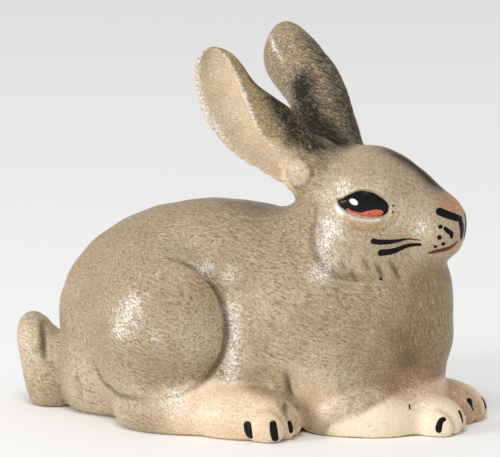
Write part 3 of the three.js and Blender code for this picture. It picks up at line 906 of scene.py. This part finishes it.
MOUTH = ([(40.5, 5.4, 34.1), (42.3, 4.6, 34.8), (44.1, 3.3, 35.3), (45.2, 1.7, 36.3)],
         [0.2, 0.5, 0.56, 0.42, 0.2])
WHISKER_END = ([(36.9, 8.2, 36.8), (38.2, 7.3, 36.9), (39.6, 6.5, 37)], [0.24, 0.2, 0.1])
mouth = []
for side in (-1, 1):
    for points, halves in (WHISKER_END, MOUTH):
        mouth.append(stroke(SKIN_TREE, mirrored(points, side), halves))
mouth_strokes = strokes(mouth, "mouth_strokes")

# The glint on each eye is a painted highlight.
GLINT = ([(-2.85, 0.7), (-2.2, 0.5), (-1.6, 0.3), (-1.0, 0.1)], [0.3, 0.5, 0.6, 0.5, 0.3])
glints = [stroke(EYE_TREES[side], in_eye(GLINT[0], side), GLINT[1]) for side in (-1, 1)]
glint_strokes = strokes(glints, "glint_strokes")

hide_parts(*FLESH)
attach(skin, "root")


# ---- Paints ----
def add(tree, kind, values=None, **settings):
    """Adds a node to a tree. Values go to its inputs, and an output among them is linked."""
    node = tree.nodes.new(kind)
    for name, value in settings.items():
        setattr(node, name, value)
    for name, value in (values or {}).items():
        if isinstance(value, bpy.types.NodeSocket):
            tree.links.new(value, node.inputs[name])
        else:
            node.inputs[name].default_value = value
    return node


def group(name, ins, outs):
    """A node group with named inputs and outputs, each given with its kind of socket and its value."""
    tree = bpy.data.node_groups.new(name, "ShaderNodeTree")
    for socket, kind, value in ins:
        made = tree.interface.new_socket(socket, in_out="INPUT", socket_type="NodeSocket" + kind)
        made.default_value = value
    for socket, kind in outs:
        tree.interface.new_socket(socket, in_out="OUTPUT", socket_type="NodeSocket" + kind)
    return tree, tree.nodes.new("NodeGroupInput").outputs, tree.nodes.new("NodeGroupOutput").inputs


def place(tree, made, values=None):
    """Places a node group in a material, with its own values."""
    return add(tree, "ShaderNodeGroup", values, node_tree=made).outputs


def share_of(tree, value, low, high, to_low=0.0, to_high=1.0):
    """Turns a range of values into another, held at its ends."""
    ranges = {"Value": value, "From Min": low, "From Max": high, "To Min": to_low, "To Max": to_high}
    return add(tree, "ShaderNodeMapRange", ranges).outputs["Result"]


def noise(tree, where, scale, detail, rough=0.5):
    values = {"Vector": where, "Scale": scale, "Detail": detail, "Roughness": rough}
    return add(tree, "ShaderNodeTexNoise", values).outputs


def math_of(tree, operation, a, b):
    return add(tree, "ShaderNodeMath", {0: a, 1: b}, operation=operation).outputs[0]


def times(tree, a, b):
    return math_of(tree, "MULTIPLY", a, b)


def mixed(tree, share, under, over, how="MIX"):
    """One colour laid over another by a share."""
    node = add(tree, "ShaderNodeMix", {0: share, 6: under, 7: over}, data_type="RGBA", blend_type=how)
    return node.outputs[2]


def paint(red, green, blue):
    """A paint as it is mixed, in screen values, for the shader."""
    return (*(((v / 255 + 0.055) / 1.055) ** 2.4 for v in (red, green, blue)), 1)


def hair_group():
    """Short hairs side by side, slanted in the X-Z plane: the dark ones, the light ones and their relief."""
    tree, ins, outs = group(
        "brushed_hair",
        [("Slant", "Vector", (0, 0.35, 0)), ("Hair Size", "Vector", (0.0016, 0.00038, 0.00038))],
        [("Dark", "Float"), ("Light", "Float"), ("Relief", "Float")],
    )
    here = add(tree, "ShaderNodeTexCoord").outputs["Object"]
    sway = noise(tree, here, 260.0, 1.0)["Color"]
    swayed = add(tree, "ShaderNodeVectorMath", {0: sway, 1: (0.0009, 0.0009, 0.0009), 2: here},
                 operation="MULTIPLY_ADD").outputs[0]
    turned = {"Vector": swayed, "Rotation": ins["Slant"], "Scale": ins["Hair Size"]}
    laid = add(tree, "ShaderNodeMapping", turned, vector_type="TEXTURE").outputs[0]
    hair = noise(tree, laid, 1.0, 2.0, 0.6)[0]
    tree.links.new(share_of(tree, hair, 0.53, 0.66), outs["Dark"])
    tree.links.new(share_of(tree, hair, 0.46, 0.34), outs["Light"])
    tree.links.new(hair, outs["Relief"])
    return tree


def cloud_group():
    """Uneven airbrushed colour: wide clouds, and the fine grain of the sprayed paint."""
    tree, _, outs = group("uneven_coat", [], [("Cloud", "Float"), ("Grain", "Float")])
    here = add(tree, "ShaderNodeTexCoord").outputs["Object"]
    tree.links.new(share_of(tree, noise(tree, here, 160.0, 3.0, 0.6)[0], 0.32, 0.68), outs["Cloud"])
    tree.links.new(share_of(tree, noise(tree, here, 2600.0, 2.0, 0.7)[0], 0.35, 0.65), outs["Grain"])
    return tree


def varnish_group():
    """Old varnish: how rough it is from place to place, and its fine orange-peel."""
    tree, ins, outs = group(
        "old_varnish",
        [("Smooth", "Float", 0.24), ("Worn", "Float", 0.5)],
        [("Roughness", "Float"), ("Peel", "Float")],
    )
    here = add(tree, "ShaderNodeTexCoord").outputs["Object"]
    patches = noise(tree, here, 900.0, 4.0, 0.7)[0]
    tree.links.new(share_of(tree, patches, 0.35, 0.68, ins["Smooth"], ins["Worn"]), outs["Roughness"])
    tree.links.new(noise(tree, here, 1700.0, 2.0)[0], outs["Peel"])
    return tree


BRUSHED_HAIR = hair_group()
UNEVEN_COAT = cloud_group()
OLD_VARNISH = varnish_group()

COAT_DEEP = paint(155, 133, 103)
COAT_LIGHT = paint(171, 149, 118)
CHEST_BROWN_AND_SHADE = paint(140, 110, 70)
TOP_BROWN = paint(132, 108, 76)
FACE_BUFF = paint(204, 186, 158)
PALE_AND_HIGHLIGHT_BUFF = paint(206, 191, 165)
BAND_TAN = paint(168, 142, 104)
SPECKLE_BROWN = paint(92, 76, 52)
HAIR_BROWN = paint(108, 84, 56)
HAIR_PALE = paint(206, 188, 160)
FEET_DEEP = paint(218, 189, 156)
FEET_LIGHT = paint(228, 205, 176)
PAW_SHADE_TAN = paint(162, 124, 88)
MILKY_CREAM = paint(248, 230, 202)
EAR_DEEP = paint(200, 176, 142)
EAR_LIGHT = paint(212, 192, 164)
BLUSH_BROWN = paint(184, 130, 84)
LID_OCHRE = paint(180, 146, 98)
LID_HIGHLIGHT_BUFF = paint(214, 196, 168)
LID_WHITE_AND_HIGHLIGHT = paint(250, 245, 236)
SOOT_BLACK = paint(22, 23, 13)
SHADE_BROWN = paint(66, 47, 30)
STRIPE_BROWN = paint(40, 27, 12)
HIGHLIGHT_BUFF = paint(224, 216, 200)
HIGHLIGHT_WHITE = paint(250, 247, 240)


def new_paint(name):
    material = bpy.data.materials.new(name)
    material.use_nodes = True
    tree = material.node_tree
    return material, tree, tree.nodes["Principled BSDF"]


def relief(tree, height, depth, under=None):
    """A bump of depth metres, laid over another."""
    values = {"Height": height, "Distance": depth, "Strength": 1.0}
    if under is not None:
        values["Normal"] = under
    return add(tree, "ShaderNodeBump", values).outputs["Normal"]


def fur_paint():
    """Cream ground, a grey-brown airbrushed coat, fine brushed hairs, smoke between the ears, painted shade
    and highlights, and varnish.
    """
    material, tree, surface = new_paint("fur_paint")

    def kept(name):
        return add(tree, "ShaderNodeAttribute", attribute_name=name).outputs["Fac"]

    def laid(under, over, share, strength=1.0):
        """A paint over what is there, by a share and a strength."""
        return mixed(tree, times(tree, share, strength), under, over)

    coat = place(tree, UNEVEN_COAT)
    cloud, grain = coat["Cloud"], coat["Grain"]
    body = place(tree, BRUSHED_HAIR)
    face = place(tree, BRUSHED_HAIR, {"Slant": (0, 0.95, 0), "Hair Size": (0.0013, 0.00026, 0.00026)})
    front = place(tree, BRUSHED_HAIR, {"Slant": (0, 1.35, 0), "Hair Size": (0.0015, 0.0003, 0.0003)})
    on_face, on_front = kept("on_face"), kept("on_front")

    def lying(name):
        """The hairs as they lie on each part of the body."""
        first = mixed(tree, on_face, body[name], face[name])
        return add(tree, "ShaderNodeSeparateColor", {0: mixed(tree, on_front, first, front[name])}).outputs[0]

    dark, light, hair = lying("Dark"), lying("Light"), lying("Relief")
    cream, hollow, painted_highlight = kept("cream"), kept("hollow"), kept("painted_highlight")
    bare = math_of(tree, "SUBTRACT", 1.0, math_of(tree, "MAXIMUM", cream, hollow))

    # The coat and its hairs, with painted shade on the chest's front and painted highlights among the paler
    # places.
    colour = mixed(tree, share_of(tree, cloud, 0, 1, 0.1, 0.9), COAT_DEEP, COAT_LIGHT)
    # The chest's front, turned from the key light, takes a browner paint that is partly painted shade.
    colour = laid(colour, CHEST_BROWN_AND_SHADE, on_front, 0.6)
    colour = laid(colour, TOP_BROWN, kept("darker_top"))
    colour = laid(colour, FACE_BUFF, on_face, 0.3)
    colour = laid(colour, PALE_AND_HIGHLIGHT_BUFF, kept("pale_and_highlight"))
    colour = laid(colour, BAND_TAN, kept("band"), 0.8)
    colour = laid(colour, SPECKLE_BROWN, kept("inner"), share_of(tree, grain, 0.1, 0.7, 0.9, 0.3))
    colour = laid(colour, HAIR_BROWN, times(tree, dark, bare), share_of(tree, on_face, 0, 1, 0.52, 0.34))
    colour = laid(colour, HAIR_PALE, times(tree, light, bare), 0.35)

    # The cream feet and ears, painted shade on the paws' inner sides, the tints of the face, and a painted
    # highlight on the lids.
    colour = laid(colour, mixed(tree, cloud, FEET_DEEP, FEET_LIGHT), cream)
    colour = laid(colour, PAW_SHADE_TAN, kept("paw_shade"), 0.6)
    colour = laid(colour, MILKY_CREAM, kept("milky"), 0.8)
    colour = laid(colour, mixed(tree, cloud, EAR_DEEP, EAR_LIGHT), hollow)
    colour = laid(colour, BLUSH_BROWN, kept("blush"), 0.8)
    colour = laid(colour, LID_OCHRE, kept("ochre"), 0.75)
    colour = laid(colour, LID_HIGHLIGHT_BUFF, kept("lid_highlight"), 0.4)

    # Smoke with a ragged edge, with the painted shade of the ears' edges, the painted shade of the creases,
    # the stripe, and the white and the painted highlight by the eye.
    by_cloud = share_of(tree, cloud, 0, 1, -0.12, 0.12)
    ragged = math_of(tree, "ADD", by_cloud, share_of(tree, hair, 0.3, 0.7, -0.2, 0.2))
    soot_and_shade = share_of(tree, math_of(tree, "ADD", kept("smoke"), ragged), 0.06, 0.98)
    colour = laid(colour, SOOT_BLACK, soot_and_shade, 0.96)
    colour = laid(colour, SHADE_BROWN, kept("shade"), 0.75)
    colour = laid(colour, STRIPE_BROWN, kept("stripe"), 0.95)
    colour = laid(colour, LID_WHITE_AND_HIGHLIGHT, kept("lid_white_and_highlight"))

    # Painted highlights, and the grain of the spray over all.
    colour = laid(colour, HIGHLIGHT_BUFF, painted_highlight, 0.3)
    sparkle = math_of(tree, "MAXIMUM", light, share_of(tree, grain, 0.5, 0.8))
    colour = laid(colour, HIGHLIGHT_WHITE, times(tree, painted_highlight, sparkle), 0.8)
    grey = add(tree, "ShaderNodeCombineColor", {0: grain, 1: grain, 2: grain}).outputs[0]
    colour = mixed(tree, 0.25, colour, grey, "OVERLAY")
    tree.links.new(colour, surface.inputs["Base Color"])

    varnish = place(tree, OLD_VARNISH, {"Smooth": 0.22, "Worn": 0.48})
    matt = times(tree, math_of(tree, "MAXIMUM", soot_and_shade, kept("stripe")), 0.85)
    tree.links.new(math_of(tree, "MAXIMUM", varnish["Roughness"], matt), surface.inputs["Roughness"])
    calm = share_of(tree, math_of(tree, "MAXIMUM", on_face, soot_and_shade), 0, 1, 1, 0.5)
    furry = times(tree, hair, times(tree, calm, share_of(tree, bare, 0, 1, 0.3, 1)))
    peeled = relief(tree, varnish["Peel"], 0.00003)
    tree.links.new(relief(tree, furry, 0.00022, peeled), surface.inputs["Normal"])
    surface.inputs["Specular IOR Level"].default_value = 0.36
    return material


def stroke_paint(name, thin, thick, smooth, worn, gloss=0.5):
    """Thick brush paint: two shades of one colour in streaks, under varnish."""
    material, tree, surface = new_paint(name)
    coat = place(tree, UNEVEN_COAT)
    streaks = place(tree, BRUSHED_HAIR, {"Hair Size": (0.001, 0.00014, 0.00014)})
    streaked = share_of(tree, streaks["Relief"], 0.3, 0.7)
    shades = times(tree, share_of(tree, coat["Grain"], 0, 1, 0.4, 1), streaked)
    tree.links.new(mixed(tree, shades, thick, thin), surface.inputs["Base Color"])
    varnish = place(tree, OLD_VARNISH, {"Smooth": smooth, "Worn": worn})
    tree.links.new(varnish["Roughness"], surface.inputs["Roughness"])
    brushed = relief(tree, streaks["Relief"], 0.00003, relief(tree, varnish["Peel"], 0.00001))
    tree.links.new(brushed, surface.inputs["Normal"])
    surface.inputs["Specular IOR Level"].default_value = gloss
    return material


def dress(piece, material):
    piece.data.materials.clear()
    piece.data.materials.append(material)


dress(skin, fur_paint())
dress(black_strokes, stroke_paint("black_paint", paint(26, 22, 19), paint(8, 7, 7), 0.3, 0.5, 0.15))
EYE_BLACK = stroke_paint("eye_paint", paint(22, 18, 17), paint(7, 6, 7), 0.08, 0.18, 0.2)
for piece in eyes.values():
    dress(piece, EYE_BLACK)
dress(red_strokes, stroke_paint("red_paint", paint(238, 140, 120), paint(184, 48, 36), 0.12, 0.3))
dress(mouth_strokes, stroke_paint("dark_red_paint", paint(124, 66, 48), paint(84, 38, 30), 0.2, 0.4, 0.2))
dress(glint_strokes, stroke_paint("glint_paint", paint(252, 250, 244), paint(236, 228, 214), 0.2, 0.4))

# ---- Floor, light and camera ----
bpy.ops.object.select_all(action="DESELECT")
bpy.ops.mesh.primitive_plane_add(size=4)
floor = bpy.context.object
floor.name = "floor"
floor_paint, _, floor_surface = new_paint("floor")
floor_surface.inputs["Base Color"].default_value = (0.95, 0.95, 0.945, 1)
floor_surface.inputs["Roughness"].default_value = 0.8
dress(floor, floor_paint)

world = bpy.data.worlds.new("studio")
world.use_nodes = True
background = world.node_tree.nodes["Background"].inputs
background["Color"].default_value = (1, 1, 1, 1)
background["Strength"].default_value = 0.64
bpy.context.scene.world = world


def soft_light(name, spot, aim, size, power):
    data = bpy.data.lights.new(name, "AREA")
    data.shape = "DISK"
    data.size = size
    data.energy = power
    light = bpy.data.objects.new(name, data)
    bpy.context.scene.collection.objects.link(light)
    light.location = spot
    light.rotation_euler = (Vector(aim) - Vector(spot)).to_track_quat("-Z", "Y").to_euler()


soft_light("key", (-0.62, -0.62, 0.2), (0, 0, 0.03), 0.36, 4.4)
soft_light("overhead", (0.1, -0.4, 0.9), (0, 0, 0.03), 0.3, 2.6)

CAMERA_YAW = 22
CAMERA_RISE = 10.5
CAMERA_ROLL = 1.5
CAMERA_FAR = 1.2
AIM = Vector((0.00216, 0, 0.0364))
yaw, rise = math.radians(CAMERA_YAW), math.radians(CAMERA_RISE)
back = Vector((math.sin(yaw) * math.cos(rise), -math.cos(yaw) * math.cos(rise), math.sin(rise)))
camera = bpy.data.objects.new("camera", bpy.data.cameras.new("camera"))
bpy.context.scene.collection.objects.link(camera)
camera.data.lens = 450
camera.data.sensor_width = 36
camera.data.clip_end = 20
camera.location = AIM + back * CAMERA_FAR
camera.rotation_mode = "QUATERNION"
turn = (-back).to_track_quat("-Z", "Y")
camera.rotation_quaternion = turn @ Quaternion((0, 0, 1), -math.radians(CAMERA_ROLL))
bpy.context.scene.camera = camera
bpy.context.scene.view_settings.view_transform = "Standard"
